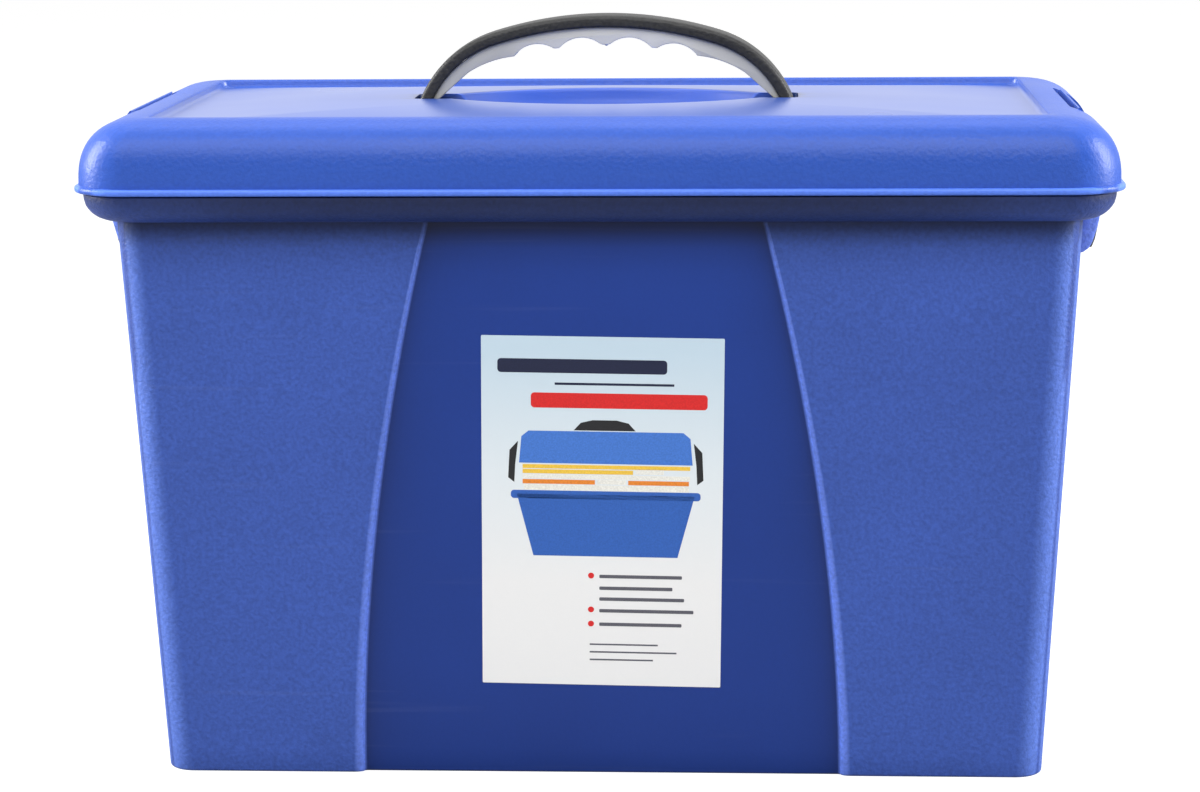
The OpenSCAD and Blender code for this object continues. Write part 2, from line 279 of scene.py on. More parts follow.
def buildScuffGroup():
    # sparse fine handling scratches in two directions, as a mask
    tree, given, end = newGroup("handlingScuffs", {"Length": 9.0, "Amount": 0.5}, ["Mask"])
    stretch, masks = scuffLooks["stretch"], []
    for turn in scuffLooks["turns"]:
        place = newNode(tree, "Mapping", Rotation=(turn, turn * 0.7, turn), Scale=(1, stretch, stretch),
                        Vector=given["Vector"])
        streak = noiseNode(tree, place.outputs[0], given["Length"], 1)
        masks.append(rangeNode(tree, streak, *scuffLooks["cutoff"], 0, 1))
    both = mathNode(tree, "MAXIMUM", *masks)
    feed(tree, end, Mask=mathNode(tree, "MULTIPLY", both, given["Amount"], clamp=True))
    return tree


grainGroup = buildGrainGroup()
scuffGroup = buildScuffGroup()


def newMaterial(name):
    material = bpy.data.materials.new(name)
    tree = emptyTree(material)
    shader = newNode(tree, "BsdfPrincipled")
    newNode(tree, "OutputMaterial", Surface=shader.outputs[0])
    return material, tree, shader, newNode(tree, "TexCoord").outputs["Object"]


def addGroup(tree, group, where, **values):
    node = newNode(tree, "Group")
    node.node_tree = group
    return feed(tree, node, Vector=where, **values).outputs


def addBump(tree, shader, height, strength, depth):
    bump = newNode(tree, "Bump", Strength=strength, Distance=depth, Height=height)
    feed(tree, shader, Normal=bump.outputs[0])


def tone(colour, factor):
    return tuple(c * factor for c in colour)


usualPlastic = {  # what a plastic is like where its own line below doesn't say
    "colour": (1, 1, 1), "rough": 0.45, "smoothRough": 0.45, "roughSpread": 0.06, "specular": 0.35,
    "grain": 900.0, "bump": 0.25, "depth": 0.00012, "spread": 0.1, "speckle": 0.0, "wave": 0.15,
    "scuffs": 0.12, "scuffTint": 0.12, "scuffRough": 0.12, "scuffColour": (0.5, 0.55, 0.7), "coat": 0.0,
    "coatRough": 0.33,
}
plasticKinds = {
    "tubTextured": {"rough": 0.52, "smoothRough": 0.4, "specular": 0.3, "grain": 620.0, "bump": 0.6,
                    "depth": 0.0006, "speckle": 0.16},
    "lidSatin": {"rough": 0.37, "smoothRough": 0.28, "coat": 0.85, "specular": 0.3, "grain": 620.0,
                 "bump": 0.45, "depth": 0.0004, "spread": 0.04, "scuffs": 0.05, "wave": 0.03,
                 "speckle": 0.07},
    "handleBlackSatin": {"colour": (0.02, 0.02, 0.02), "rough": 0.46, "specular": 0.28, "grain": 700.0,
                         "bump": 0.6, "depth": 0.0005, "spread": 0.25, "scuffs": 0.3, "speckle": 0.35},
    "latchBlackSatin": {"colour": (0.028, 0.028, 0.03), "rough": 0.38, "specular": 0.42, "grain": 1300.0,
                        "bump": 0.35, "spread": 0.2, "scuffs": 0.5},
    "gripSoftGrey": {"colour": (0.51, 0.505, 0.47), "rough": 0.58, "specular": 0.3, "grain": 1100.0,
                     "bump": 0.35, "spread": 0.08, "scuffs": 0.3},
}


def mouldedPlastic(name, painted=False):
    look = {**usualPlastic, **plasticKinds[name]}
    material, tree, shader, where = newMaterial(name)
    grains = addGroup(tree, grainGroup, where, Grain_Size=look["grain"], Wave_Share=look["wave"])
    marks = addGroup(tree, scuffGroup, where, Amount=look["scuffs"])["Mask"]
    dark, pale = (tone(look["colour"], 1 + side * look["spread"] / 2) for side in (-1, 1))
    base = mixColour(tree, grains["Mottle"], dark, pale)
    height = grains["Height"]
    dots = mathNode(tree, "MULTIPLY", grains["Speckle"], look["speckle"])
    polish = None
    # the painted tone holds painted light and shade as well as the pieces' colours
    if painted:  # the tone painted on the piece: its colour, and in its alpha how strong the grain is
        layer = newNode(tree, "Attribute")
        layer.attribute_name = "tone"
        base = mixColour(tree, 1.0, base, layer.outputs["Color"], "MULTIPLY")
        grained = layer.outputs["Alpha"]
        height = mathNode(tree, "MULTIPLY", height, grained)
        dots = mathNode(tree, "MULTIPLY", dots, grained)
        polish = rangeNode(tree, grained, 0, 1, look["smoothRough"] - look["rough"], 0)
        if look["coat"]:
            gloss = rangeNode(tree, grained, 0, 1, look["coat"], 0)
            feed(tree, shader, Coat_Weight=gloss, Coat_Roughness=look["coatRough"])
    base = mixColour(tree, 1.0, base, mathNode(tree, "ADD", dots, 1.0), "MULTIPLY")
    base = mixColour(tree, mathNode(tree, "MULTIPLY", marks, look["scuffTint"]), base, look["scuffColour"])
    worn = mathNode(tree, "MULTIPLY_ADD", grains["Mottle"], look["roughSpread"],
                    look["rough"] - look["roughSpread"] / 2)
    worn = mathNode(tree, "ADD", worn, mathNode(tree, "MULTIPLY", marks, look["scuffRough"]))
    if polish:
        worn = mathNode(tree, "ADD", worn, polish)
    feed(tree, shader, Base_Color=base, Roughness=worn, Specular_IOR_Level=look["specular"])
    addBump(tree, shader, height, look["bump"], look["depth"])
    return material


tubPlastic = mouldedPlastic("tubTextured", painted=True)
lidPlastic = mouldedPlastic("lidSatin", painted=True)
blackPlastic = mouldedPlastic("handleBlackSatin")
latchPlastic = mouldedPlastic("latchBlackSatin")
greyPlastic = mouldedPlastic("gripSoftGrey", painted=True)

steelLooks = {"dark": (0.42, 0.42, 0.41), "pale": (0.62, 0.62, 0.61), "lines": 4000, "stretch": 0.02,
              "rough": (0.26, 0.42), "bump": 0.2, "depth": 0.00003}


def drawnSteel():
    look = steelLooks
    material, tree, shader, where = newMaterial("drawnSteelWire")
    stretch = newNode(tree, "Mapping", Scale=(1, look["stretch"], 1), Vector=where)
    lines = noiseNode(tree, stretch.outputs[0], look["lines"], 3)
    feed(tree, shader, Base_Color=mixColour(tree, lines, look["dark"], look["pale"]), Metallic=1,
         Roughness=rangeNode(tree, lines, 0.3, 0.7, *look["rough"]))
    addBump(tree, shader, lines, look["bump"], look["depth"])
    return material


steelWire = drawnSteel()
print("materials ready")

tubSize = {
    "rimHalf": (201, 99.6), "lean": 12.4, "cornerRadius": 12, "rimZ": 241, "wall": 2.5, "floor": 3,
    "collarHalf": (214.3, 113.6), "collarRadius": 24, "ledgeZ": 244,
    "bellTop": 70, "bellFoot": 102.5, "bellPower": 1.87, "sunkTop": 0.8, "sunkFoot": 2.6,
    "stepTop": 1.1, "stepFoot": 4.3, "stepShare": 0.86, "stepBlend": 1.3, "panelEdge": 20,
    "channelHalf": 46.5, "cheek": 3, "cutEdge": 0.15, "channelX": 206, "closeX": 203.5,
}
tubRounds = {
    "foot": ((0, 1.3), (0.15, 0.7), (0.55, 0.2), (1.2, 0)),  # height, inset
    "collar": ((0, 10.4), (0.3, 8.9), (0.8, 7.4), (1.4, 5.9), (2.2, 4.6), (3, 3.6), (4, 2.6), (5.2, 1.7),
               (6.5, 0.9), (9, 0.2), (11.0, 0), (11.35, 0.1), (11.55, 0.35), (11.6, 0.7),
               (11.6, 1.9)),  # above the rim's root, inset
    "collarInside": ((252.6, 1.95), (252.45, 2.35), (252.1, 2.5), (248.5, 2.5), (247.2, 3.0), (246, 4.5),
                     (244.7, 6.6), (244, 8.5)),
}
guardSize = {
    "middle": 48, "thick": 3, "round": 0.6,
    "outline": [(198.5, 219.6), (204.8, 220.8), (207.2, 222.6), (208.6, 225.2), (210.0, 229.5),
                (211.2, 234), (212.2, 240), (212.5, 244.5), (198.5, 244.5)],
}
# besides the plastics' own blues, the corner, step, well, hood, bead and guard colours are painted
# highlights and light, and the centre, rim and inside colours hold painted shade
blues = {  # painted on the tub and the lid, over the plastics' own white
    "side": (0.036, 0.082, 0.35), "centre": (0.008, 0.037, 0.235), "edge": (0.1, 0.18, 0.56),
    "step": (0.085, 0.15, 0.52), "rim": (0.01, 0.022, 0.095), "inside": (0.022, 0.055, 0.26),
    "guard": (0.18, 0.28, 0.8), "lid": (0.024, 0.078, 0.385), "lidTop": (0.03, 0.082, 0.36),
    "well": (0.036, 0.11, 0.54), "hood": (0.1, 0.18, 0.58), "bead": (0.08, 0.18, 0.7),
}
# painted highlights on the steps and corners, painted shade beside the steps, down the centre panel, under
# the rim and at the collar's top, and painted light at the collar's ends and on the guards
tubPaint = {  # a fade is from, to, value before, value after
    "stepHighlight": 1.6, "stepShadow": ((0.35, 9), (0.25, 2)), "panelShadeByHeight": (0.88, 1.04), "panelGrain": 0.12,
    "cornerHighlightShare": 0.6, "underRim": ((215, 230, 1, 0.9), (228, 240, 1, 0.25)),
    "collar": (203, 101), "collarTopShade": (243, 251, 1.25, 0.55), "collarEndsLight": (120, 205, 1.1, 2.2),
    "guard": ((200.5, 212.6), (46, 51), (215, 244.6)),
}


def rimShare(z):  # 0 at the foot, 1 from the rim's root upwards
    return min(1, max(0, z / tubSize["rimZ"]))


def bellHalf(z):
    s = tubSize
    return s["bellFoot"] - (s["bellFoot"] - s["bellTop"]) * rimShare(z) ** s["bellPower"]


def sunkDepth(z):
    return mix(tubSize["sunkFoot"], tubSize["sunkTop"], rimShare(z))


def stepWidth(z):
    return mix(tubSize["stepFoot"], tubSize["stepTop"], rimShare(z))


def quadrants(quarter):
    # a quarter of the ring from the middle of an end to the middle of a face, mirrored to a whole ring
    ring = []
    for sx, sy, flipped in ((1, 1, False), (-1, 1, True), (-1, -1, False), (1, -1, True)):
        part = quarter[::-1] if flipped else quarter
        skipFirst = 0 if sx == 1 and sy == 1 else 1
        skipLast = 1 if sx == 1 and sy == -1 else 0
        ring += [(sx, sy, *c) for c in part[skipFirst:len(part) - skipLast]]
    return ring


def tubQuarter():
    s = tubSize
    walls = (s["channelHalf"], s["channelHalf"] + s["cheek"])
    quarter = [("end", y) for y in (0, 22, 40)]
    quarter += [("end", wall + side * s["cutEdge"]) for wall in walls for side in (-1, 1)]
    quarter += [("endShare", f) for f in (0.3, 0.65)]
    quarter += [("arc", a) for a in range(0, 91, 9)]
    quarter += [("side", f) for f in (0.15, 0.4, 0.7, 0.9)]
    quarter += [("step", a) for a in (0, 22, 42, 60, 76, 90)]
    quarter += [("sunk", d) for d in (0.5, 1.3, 3.5, 7, 12, 20)]
    quarter += [("centre", f) for f in (0.86, 0.5, 0.25, 0)]
    return quarter


def tubPlace(column, level):
    sx, sy, kind, value = column
    z, hx, hy, r, sunk, guard = level
    s = tubSize
    b, w, depth = bellHalf(z), stepWidth(z), sunkDepth(z) * sunk
    if kind == "end":
        x, y = hx, value
    elif kind == "endShare":
        x, y = hx, mix(s["channelHalf"] + s["cheek"] + s["cutEdge"], hy - r, value)
    elif kind == "arc":
        a = math.radians(value)
        x, y = hx - r + r * math.cos(a), hy - r + r * math.sin(a)
    elif kind == "side":
        x, y = mix(hx - r, b + w, value), hy
    elif kind == "step":
        a = math.radians(value)
        x, y = b + w * (1 - math.sin(a)), hy - s["stepShare"] * depth * (1 - math.cos(a))
    elif kind == "sunk":
        x, y = b - value, hy - depth * mix(s["stepShare"], 1, smooth(value / s["stepBlend"]))
    else:
        x, y = (b - s["panelEdge"]) * value, hy - depth
    if guard and y <= guard[0]:
        x = min(x, guard[1])
    return sx * x, sy * y, z


def tubLevels():
    # from the foot up the outside, over the collar and down the inside to the floor
    s = tubSize
    levels = []

    def body(z, inset, sunk=1.0):
        lean = s["lean"] * (1 - z / s["rimZ"])
        hx, hy = (half - lean - inset for half in s["rimHalf"])
        levels.append((z, hx, hy, s["cornerRadius"] - min(inset, s["wall"]), sunk, None))

    def collar(z, inset, guard):
        hx, hy = (half - inset for half in s["collarHalf"])
        levels.append((z, hx, hy, s["collarRadius"] - inset, 0, guard))

    for z, inset in tubRounds["foot"]:
        body(z, inset)
    for i in range(1, 24):
        body(mix(tubRounds["foot"][-1][0], s["rimZ"] - 1.5, i / 24), 0)
    body(s["rimZ"] - 0.6, 0)
    body(s["rimZ"] - 0.1, -0.5, 0.9)
    for up, inset in tubRounds["collar"]:
        collar(s["rimZ"] + up, inset, (s["channelHalf"], s["channelX"]))
    for z, inset in tubRounds["collarInside"]:
        collar(z, inset, (s["channelHalf"] + s["cheek"], s["closeX"]))
    body(s["ledgeZ"], 2.0, 0)
    body(s["ledgeZ"] - 0.4, s["wall"], 0.3)
    for i in range(0, 12):
        body(mix(s["rimZ"], s["floor"] + 2, i / 11), s["wall"])
    body(s["floor"] + 0.5, 3.0)
    body(s["floor"], 4.2)
    return levels


def tubTone(x, y, z):
    # grained sides and a smoother centre panel; painted highlights on the steps and rounded corners,
    # painted shade on the centre panel, beside the steps, under the rim, on the collar and inside, and
    # painted light on the collar's ends and the guards
    paint, s = tubPaint, tubSize
    colour, grain = Vector(blues["side"]), 1.0
    hx, hy = (half - s["lean"] * (1 - rimShare(z)) for half in s["rimHalf"])
    inPanel = bellHalf(z) - x
    underRim = z < s["rimZ"] - 0.05
    if underRim and y > hy - 4:
        across = inPanel / stepWidth(z) + 1
        if inPanel > -5 and across > 0:
            # painted highlight: the step's rounded strip is painted a paler blue, brighter towards its
            # steep side
            step = Vector(blues["step"]) * mix(1, paint["stepHighlight"], across ** 2)
            # painted shadow: the centre panel is darker close beside the step
            near = sum(share * math.exp(-max(0, inPanel) / reach) for share, reach in paint["stepShadow"])
            # painted shade: the centre panel is painted darker than the grained sides, in place of their
            # paler sheen, and darker again towards the foot
            panel = Vector(blues["centre"]) * (1 - near) * mix(*paint["panelShadeByHeight"], z / s["rimZ"])
            colour = colour.lerp(step, smooth(across * 3)).lerp(panel, smooth((inPanel + 0.2) / 1.2))
        if inPanel > 0:
            grain = fade(inPanel, 0, 2, 1, paint["panelGrain"])
    if underRim:
        # painted highlight: the rounded corners are painted paler, most at the middle of each corner
        cornerX, cornerY = x - (hx - s["cornerRadius"]), y - (hy - s["cornerRadius"])
        if cornerX > 0 and cornerY > 0:
            pale = paint["cornerHighlightShare"] * math.sin(2 * math.atan2(cornerY, cornerX))
            colour = colour.lerp(Vector(blues["edge"]), pale)
        # painted shadow: the wall darkens steeply just under the rim
        for limits in paint["underRim"]:
            colour *= fade(z, *limits)
    elif max(x - paint["collar"][0], y - paint["collar"][1]) > 0:
        # painted shade: the collar under the lid is painted near black and darker towards its top; painted
        # light makes it paler towards its ends
        colour = Vector(blues["rim"]) * fade(z, *paint["collarTopShade"]) * fade(x, *paint["collarEndsLight"])
    else:
        # painted shade: the inside is painted a darker blue than the outside
        colour = Vector(blues["inside"])
    if y < hy - 2.2 - sunkDepth(z) and x < hx - 2.2:
        # painted shade: the inner walls get the darker inside blue too
        colour = Vector(blues["inside"])
    if all(low < value < high for value, (low, high) in zip((x, y, z), paint["guard"])):
        # painted light: the guards are painted a bright blue
        colour = Vector(blues["guard"])
    return colour, grain


tubMesh = ringStack(quadrants(tubQuarter()), tubLevels(), tubPlace)
sweepCheeks(tubMesh, guardSize["outline"], guardSize["middle"], guardSize["thick"], guardSize["round"])
paintTones(tubMesh, tubTone)
newPiece("tubShell", tubMesh, tubPlastic, "tub", ["tub"], sharp=38)

lidSize = {
    "skirtHalf": (215.9, 113.3), "skirtRadius": 23, "lidZ": 253, "domeZ": 256.4, "topZ": 283.5,
    "domePower": 2.5, "endIn": 29, "frontIn": 22, "topRadius": 5.5, "recess": 3.5, "margin": 5.5,
    "crown": 3.7, "wall": 2.5, "lipOuter": 4.5, "lipInner": 6.5, "lipZ": 248.6, "lipFreeHalf": 49.9,
    "wellHalf": (77, 40), "wellEdge": (1.03, 1.045), "pocketHalf": 46.5, "pocketX": 198.5,
    "pocketRound": 1.2, "pastPocket": 50.1, "slotX": (56, 84), "slotHalf": 12.2, "slotRadius": 3,
    "cutRound": 0.35,
}
lidRounds = {
    "well": ((271, 0.2, 0.2), (271, 0.45, 0.45), (271.05, 0.66, 0.63), (271.5, 0.735, 0.7),
             (272.5, 0.785, 0.755), (274, 0.845, 0.825), (276, 0.9, 0.9), (279.3, 0.945, 0.945),
             (282.0, 0.978, 0.976), (282.9, 0.988, 0.985), (283.4, 0.997, 0.995),
             (283.68, 1.008, 1.012)),  # height, shares of the oval's two halves
    "panel": (0.97, 0.9, 0.8, 0.68, 0.55, 0.42, 0.3, 0.2, 0.12, 0.06, 0.025, 0),
    "recess": ((0, 4.2), (0, 2.6), (0.12, 1.7), (0.5, 1.15), (1.2, 0.85), (2.4, 0.6), (2.95, 0.4),
               (3.3, 0.1)),  # above the recess's floor, inset
    "bead": ((255.85, 0), (255.66, 0.25), (255.6, 0.9), (255.45, 1.45), (255.1, 1.72), (254.4, 1.8),
             (253.7, 1.75), (253.25, 1.5), (253.02, 1.0), (253, 0.4)),  # height, how far it stands out
    "underWell": ((281, 2.5, 1, 1), (276, 2.5, 0.93, 0.93), (273, 2.5, 0.9, 0.9), (270, 2.5, 0.8, 0.76),
                  (268.9, 2.2, 0.76, 0.72), (268.5, 1.4, 0.72, 0.68), (268.5, 0, 0.4, 0.4)),
}
# the slots get painted light inside and painted shade at their outer ends; the recess's back wall and a
# band half way up the dome get painted shade
lidPaint = {
    "panel": (186.5, 91, 270), "panelGrain": 0.22, "well": (77.5, 41, 283.4), "backY": 89.6,
    "backShade": 0.95, "slot": ((55.8, 84.2), 12.6), "slotMiddle": 72, "slotInnerLight": 2.2, "slotOuterShade": 0.45,
    "hood": (201.2, 47, 275.5), "hoodLine": (0.62, 376.9), "bead": (213.5, 111, (252.9, 255.7)),
    "band": (270, 6), "shadeBandShares": (0.7, 0.28, 0.12),  # a deeper blue half way up the dome
}


def lidQuarter():
    quarter = [("end", y) for y in (0, 14, 28, 40, lidSize["pocketHalf"], 49.7, lidSize["pastPocket"])]
    quarter += [("endShare", f) for f in (0.35, 0.7)]
    quarter += [("arc", a) for a in range(0, 91, 6)]
    quarter += [("face", f) for f in (0.06, 0.14, 0.24, 0.34, 0.44, 0.52, 0.6, 0.68, 0.76, 0.84, 0.92, 1)]
    return quarter


def rectanglePoint(kind, value, hx, hy, r):
    if kind == "end":
        return hx, value
    if kind == "endShare":
        return hx, mix(lidSize["pastPocket"], hy - r, value)
    if kind == "arc":
        a = math.radians(value)
        return hx - r + r * math.cos(a), hy - r + r * math.sin(a)
    return (hx - r) * (1 - value), hy


def ovalPoint(x, y, halfL, halfW):
    # where the ray towards x, y meets a pointed oval
    length = math.hypot(x, y)
    c, s = x / length, y / length
    big = (halfL ** 2 + halfW ** 2) / (2 * halfW)
    m = halfW - big
    reach = s * m + math.sqrt(s * s * m * m + big * big - m * m)
    return reach * c, reach * s


def lidPlace(column, level):
    sx, sy, kind, value = column
    style, z, data = level
    s = lidSize
    if style == "ring":
        inX, inY, r = data
        x, y = rectanglePoint(kind, value, s["skirtHalf"][0] - inX, s["skirtHalf"][1] - inY, r)
        if z < s["lidZ"] and kind == "end" and value < s["lipFreeHalf"]:
            z = s["lidZ"]
    else:
        share, grow, scaleX, scaleY = data
        hx = s["skirtHalf"][0] - s["endIn"] - s["margin"]
        hy = s["skirtHalf"][1] - s["frontIn"] - s["margin"]
        ox, oy = rectanglePoint(kind, value, hx, hy, s["topRadius"])
        px, py = ovalPoint(ox, oy, *s["wellHalf"])
        length = math.hypot(px, py)
        px, py = px * scaleX + grow * px / length, py * scaleY + grow * py / length
        x, y = mix(ox, px, share), mix(oy, py, share)
    return sx * x, sy * y, z


def domeRing(angle, inset):
    s = lidSize
    power = 2 / s["domePower"]
    t, k = math.sin(angle) ** power, 1 - math.cos(angle) ** power if angle < math.pi / 2 - 1e-6 else 1
    z = mix(s["domeZ"], s["topZ"] - inset, t)
    r = mix(s["skirtRadius"] - inset, s["topRadius"], k)
    return "ring", z, (inset + s["endIn"] * k, inset + s["frontIn"] * k, r)


def swollen(base, share):  # the panel's height, from its border to the edge of the well
    return base + lidSize["crown"] * (1 - (1 - share) ** 2)


def lidLevels():
    # from the well over the panel, dome and bead, then round the lip and back under the top
    s = lidSize
    floorZ = s["topZ"] - s["recess"]
    levels = [("oval", z, (1, 0, along, over)) for z, along, over in lidRounds["well"]]
    for share in (1, *lidRounds["panel"]):
        levels.append(("oval", swollen(floorZ, share), (share, 0, *s["wellEdge"])))
    for up, inset in lidRounds["recess"]:
        place = (s["endIn"] + inset, s["frontIn"] + inset, s["topRadius"] - 0.5 * inset)
        levels.append(("ring", floorZ + up, place))
    levels.append(("ring", s["topZ"] - 0.04, (s["endIn"] - 0.5, s["frontIn"] - 0.5, s["topRadius"])))
    levels += [domeRing(math.pi / 2 * (1 - i / 18), 0) for i in range(1, 19)]
    for z, out in lidRounds["bead"]:
        levels.append(("ring", z, (-out, -out, s["skirtRadius"] + out)))
    outer, inner, high, low = s["lipOuter"], s["lipInner"], s["domeZ"] - 0.8, s["lipZ"]
    lip = ((s["lidZ"], outer - 0.4), (s["lidZ"] - 0.4, outer), (low + 0.5, outer), (low + 0.1, outer + 0.3),
           (low, outer + 0.6), (low, inner - 0.5), (low + 0.3, inner - 0.1), (low + 0.7, inner),
           (high, inner), (high, s["wall"] + 0.3), (high + 0.4, s["wall"]))
    for z, inset in lip:
        levels.append(("ring", z, (inset, inset, s["skirtRadius"] + 3 - inset)))
    levels += [domeRing(math.pi / 2 * i / 18, s["wall"]) for i in range(0, 13)]
    under = floorZ - s["wall"]
    levels.append(("ring", under, (s["endIn"] - 7, s["frontIn"] - 4, 10)))
    levels.append(("ring", under, (s["endIn"] + 2, s["frontIn"] + 2, s["topRadius"])))
    for share in (0, 0.15, 0.35, 0.6, 0.85, 0.97):
        levels.append(("oval", swollen(under, share), (share, s["wall"], 1, 1)))
    for z, grow, along, over in lidRounds["underWell"]:
        levels.append(("oval", z, (1, grow, along, over)))
    return levels


def lidTone(x, y, z):
    # smooth pale panel and well, grained dome; painted light on the well and the slots' inner parts,
    # painted highlights on the bead and hoods, painted shade at the slots' outer ends, on the recess's back
    # wall and in a band half way up the dome
    paint = lidPaint

    def within(name):
        return x < paint[name][0] and y < paint[name][1]

    colour, grain = Vector(blues["lid"]), 1.0
    (slotLow, slotHigh), slotHalf = paint["slot"]
    (hoodX, hoodY, hoodZ), (lean, reach) = paint["hood"], paint["hoodLine"]
    beadX, beadY, (beadLow, beadHigh) = paint["bead"]
    if z > paint["panel"][2] and within("panel"):
        if slotLow < x < slotHigh and y < slotHalf:
            # painted light on the shaded inner part of each slot, painted shade on its outer end
            share = paint["slotInnerLight"] if x < paint["slotMiddle"] else paint["slotOuterShade"]
            colour, grain = Vector(blues["lidTop"]) * share, paint["panelGrain"]
        elif y > paint["backY"]:
            # painted shade: the recess's back wall is a little darker
            colour *= paint["backShade"]
        else:
            inWell = z < paint["well"][2] and within("well")
            # painted light: the well is painted a brighter blue than the panel
            colour, grain = Vector(blues["well" if inWell else "lidTop"]), paint["panelGrain"]
    elif x > hoodX and z > hoodZ and y < hoodY and x + lean * z < reach:
        # painted highlight: the hoods are painted a pale blue
        colour = Vector(blues["hood"])
    elif beadLow < z < beadHigh and max(x - beadX, y - beadY) > 0:
        # painted highlight: the bead is painted a bright blue
        colour = Vector(blues["bead"])
    else:
        # painted shade: a deeper blue half way up the dome, against the front lamp's highlight there
        band = math.exp(-((z - paint["band"][0]) / paint["band"][1]) ** 2)
        colour = Vector(c * (1 - share * band) for c, share in zip(colour, paint["shadeBandShares"]))
    return colour, grain


def onCut(p):
    # whether a point lies on an outer edge of a latch pocket or a handle slot
    s = lidSize
    x, y = abs(p.x), abs(p.y)
    (low, high), half, pocket = s["slotX"], s["slotHalf"], s["pocketHalf"]

    def near(a, b):
        return abs(a - b) < 0.05

    onPocket = near(x, s["pocketX"]) and y < pocket + 0.1 or near(y, pocket) and x > s["pocketX"] - 0.1
    inSlot = low - 0.1 < x < high + 0.1 and y < half + 0.05
    return (onPocket or inSlot and (near(x, low) or near(x, high) or near(y, half))) and p.z > 256


def softenCuts(bm, offset):
    # the sharp edges of the pockets and slots get a small round
    edges = [e for e in sharpEdges(bm, 40) if onCut((e.verts[0].co + e.verts[1].co) / 2 / mm)]
    roundEdges(bm, edges, offset, 1)


def cutLid(bm):
    # open pockets for the latches at both ends, and the slots for the handle's legs
    s = lidSize
    cutters = bmesh.new()
    endBoxes(cutters, (s["pocketX"], 240), s["pocketHalf"], (235, 300), s["pocketRound"], upright=True)
    endBoxes(cutters, s["slotX"], s["slotHalf"], (255, 300), s["slotRadius"], segments=4, upright=True)
    bm = cutAway(bm, cutters)
    bmesh.ops.dissolve_degenerate(bm, dist=1e-6, edges=bm.edges)
    softenCuts(bm, s["cutRound"])
    return bm


housing = {
    "axis": (203.5, 267.6), "pocket": 8.4, "shell": 10.9, "channelX": (205.5, 208), "footZ": 253.5,
    "half": 46.9, "cheekMiddle": 48, "cheek": 3,
    "hood": [(206.4, 276.5), (205.7, 277.7), (204.8, 279), (204.1, 280.1), (203.3, 281.2), (202.7, 281.95),
             (202.2, 282.15), (201.9, 281.9), (202.0, 278.5)],
    "cheekLine": [(205.5, 253.5), (215.3, 253.5), (215.3, 265.5), (213.6, 269.5), (210.6, 272.6),
                  (206.6, 275.6), (204.6, 277.9), (202.6, 278.2)],
}


def addHousings(bm):
    # the curved wall behind each latch's barrel, with its hood, and a cheek at either side
    s = housing
    cx, cz = s["axis"]
    inX, outX = s["channelX"]
    wall = [(outX, s["footZ"]), (outX, 260.5)] + arcPoints(cx, cz, s["pocket"], -57.6, -292, 40, False)
    wall += s["hood"] + arcPoints(cx, cz, s["shell"], 98, 281.5, 30) + [(inX, s["footZ"])]
    cheek = s["cheekLine"] + arcPoints(cx, cz, s["shell"], 100, 281.5, 30)
    for side in (False, True):
        sweepPolygon(bm, wall, -s["half"], s["half"], mirrored=side)
    sweepCheeks(bm, cheek, s["cheekMiddle"], s["cheek"])


lidMesh = cutLid(ringStack(quadrants(lidQuarter()), lidLevels(), lidPlace))
addHousings(lidMesh)
paintTones(lidMesh, lidTone)
newPiece("lidShell", lidMesh, lidPlastic, "lid", ["lid"], sharp=38)

archSize = {
    "bigRadius": 168, "bigZ": 151.6, "halfAngle": 17.3, "kneeRadius": 51, "kneeX": 34.8, "kneeZ": 263.3,
    "thick": 5.3, "half": 11, "outerRound": 1.7, "innerRound": 0.9, "crown": 0.35,
    "footX": (70, 88), "footHalf": 15, "footZ": (276.5, 279.5), "footRound": 0.8,
}
gripSize = {
    "deep": 13, "half": 9, "gap": 0.08, "footZ": 279.6, "innerKnee": (35.6, 256.5, 45.4), "round": 0.4,
    "scallop": 13, "scallopAt": 145.5, "scallopAngles": (4.05, 11.7), "nub": 0.9, "nubZ": 306.4,
    "shade": (25, 50, 1.12, 0.8),
}


def archStations():
    # points on the arch's outer curve with their inward directions, from the right leg to the left
    s = archSize
    foot = math.degrees(math.asin((s["footZ"][0] - s["kneeZ"]) / s["kneeRadius"]))
    join = 90 - s["halfAngle"]
    path = []
    for cx, cz, r, start, stop, steps in (
            (s["kneeX"], s["kneeZ"], s["kneeRadius"], foot, join, 16),
            (0, s["bigZ"], s["bigRadius"], join, 180 - join, 26),
            (-s["kneeX"], s["kneeZ"], s["kneeRadius"], 180 - join, 180 - foot, 16)):
        for i in range(steps + 1):
            a = math.radians(mix(start, stop, i / steps))
            point = Vector((cx + r * math.cos(a), 0, cz + r * math.sin(a)))
            inward = Vector((-math.cos(a), 0, -math.sin(a)))
            if not path or (path[-1][0] - point).length > 0.05:
                path.append((point, inward))
    return path


def bandProfile():
    # closed outline of the band's section, as y and depth from the outer face
    s = archSize
    half, depth, outer, inner = s["half"], s["thick"], s["outerRound"], s["innerRound"]
    points = []
    for cy, cd, r, start in ((half - outer, outer, outer, 0), (outer - half, outer, outer, 90),
                             (inner - half, depth - inner, inner, 180),
                             (half - inner, depth - inner, inner, 270)):
        for i in range(6):
            a = math.radians(start + 90 * i / 5)
            points.append((cy + r * math.cos(a), cd - r * math.sin(a)))
    points[6:6] = [((half - outer) * (1 - 2 * i / 6), 0.0) for i in range(1, 6)]  # across the outer face
    return [(y, d + (s["crown"] * (y / half) ** 2 if d < depth / 2 else 0)) for y, d in points]


def bandPlace(spot, station):
    (y, depth), (point, inward) = spot, station
    return point + inward * depth + Vector((0, y, 0))


